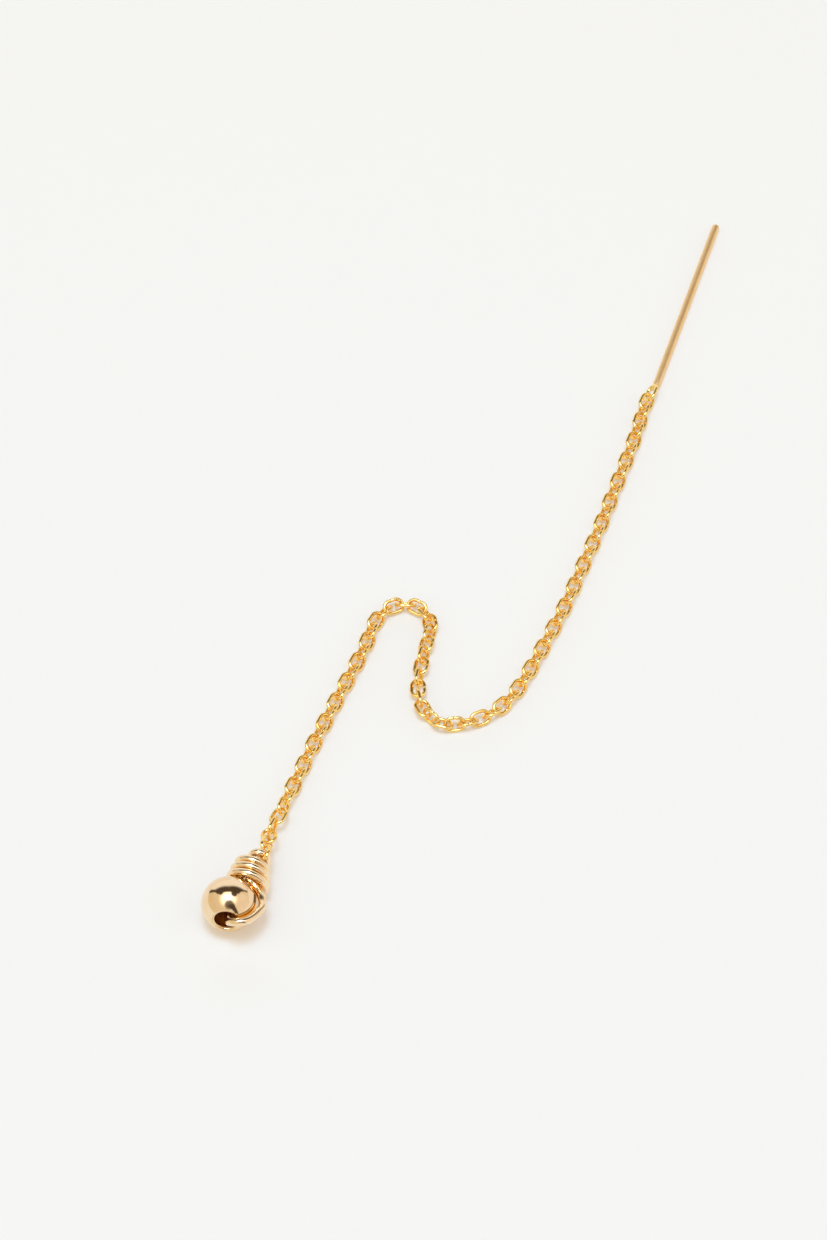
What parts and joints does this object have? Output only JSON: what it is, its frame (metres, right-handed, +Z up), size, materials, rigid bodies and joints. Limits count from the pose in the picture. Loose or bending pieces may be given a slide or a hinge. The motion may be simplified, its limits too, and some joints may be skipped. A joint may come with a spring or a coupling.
{
  "type": "threader earring",
  "caption": "Threader earring lying on a surface: a straight ear post on a fine cable chain that ends in a wire-wrapped hollow ball bead.",
  "frame": {"origin": "on the surface that the earring lies on, under the middle of its box", "axes": "+Z up from the surface; +Y along the laid-out earring, from the ball towards the post's tip; +X to the right of that, seen from above"},
  "size_m": [0.04, 0.0666, 0.004],
  "materials": {
    "post_metal": "polished, gold coloured",
    "chain_metal": "polished, yellow gold coloured",
    "loop_metal": "polished, pale gold coloured",
    "ball_metal": "mirror polished, pale gold coloured"
  },
  "bodies": {
    "root": {"ear_post": "post_metal", "cable_chain": "chain_metal", "wrapped_loop": "loop_metal", "ball_bead": "ball_metal"}
  },
  "joints": []
}
